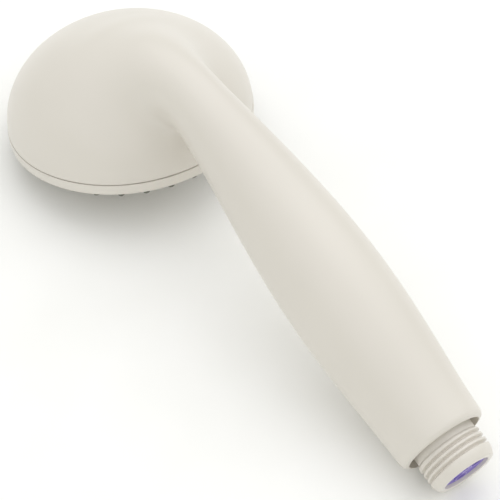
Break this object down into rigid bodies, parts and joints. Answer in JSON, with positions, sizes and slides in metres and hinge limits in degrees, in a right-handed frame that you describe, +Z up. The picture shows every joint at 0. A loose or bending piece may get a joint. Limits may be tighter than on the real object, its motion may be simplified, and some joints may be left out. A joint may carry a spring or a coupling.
{
  "type": "handheld shower head",
  "caption": "Handheld shower head: round domed head and curved handle in one shell, screw-off face with rubber nozzles, threaded inlet with regulator and non-return valve.",
  "frame": {"origin": "centre of the bounding box's underside: the object lies face down on its far nozzles and on the end of the hose thread", "axes": "+X from the head to the hose thread, +Z up from the surface it lies on, Y = 0 is the plane of symmetry"},
  "size_m": [0.2176, 0.0818, 0.0591],
  "materials": {
    "ivory": "glossy moulded",
    "natural": "satin moulded",
    "olive_rubber": "matte moulded",
    "violet": "satin moulded",
    "black_rubber": "matte",
    "steel": "drawn",
    "blue": "moulded"
  },
  "bodies": {
    "handset": {"body_shell": "ivory", "inlet_spigot": "ivory", "water_tube": "natural", "inlet_o_ring": "black_rubber", "head_o_rings": "black_rubber", "tube_spacer": "natural", "manifold": "natural", "regulator_body": "violet", "regulator_ring": "black_rubber", "valve_housing": "blue", "valve_o_ring": "black_rubber", "valve_guide": "natural", "valve_spring": "steel"},
    "gasket": {"face_gasket": "black_rubber"},
    "face": {"spray_face": "ivory", "nozzle_mat": "olive_rubber", "distributor": "natural", "distributor_o_ring": "black_rubber", "centre_screw": "steel", "screw_cap": "ivory"},
    "poppet": {"valve_poppet": "natural", "valve_seal": "black_rubber"}
  },
  "joints": [
    {"name": "face_advance", "type": "slide", "parent": "handset", "child": "gasket", "axis": [0.1982, 0, -0.9802], "range_m": [0, 0.005]},
    {"name": "face_unscrew", "type": "hinge", "parent": "gasket", "child": "face", "pos_m": [-0.06737, 0, 0.0102], "axis": [-0.1982, 0, 0.9802], "range_deg": [-720, 0]},
    {"name": "valve_lift", "type": "slide", "parent": "handset", "child": "poppet", "axis": [-0.9619, 0, 0.2734], "range_m": [0, 0.0024], "stiffness_N_per_m": 60, "springref_m": -0.004, "deforming": ["valve_spring"]}
  ],
  "couplings": [
    {"joint": "face_advance", "follows": "face_unscrew", "m_per_rad": -0.00039789}
  ]
}
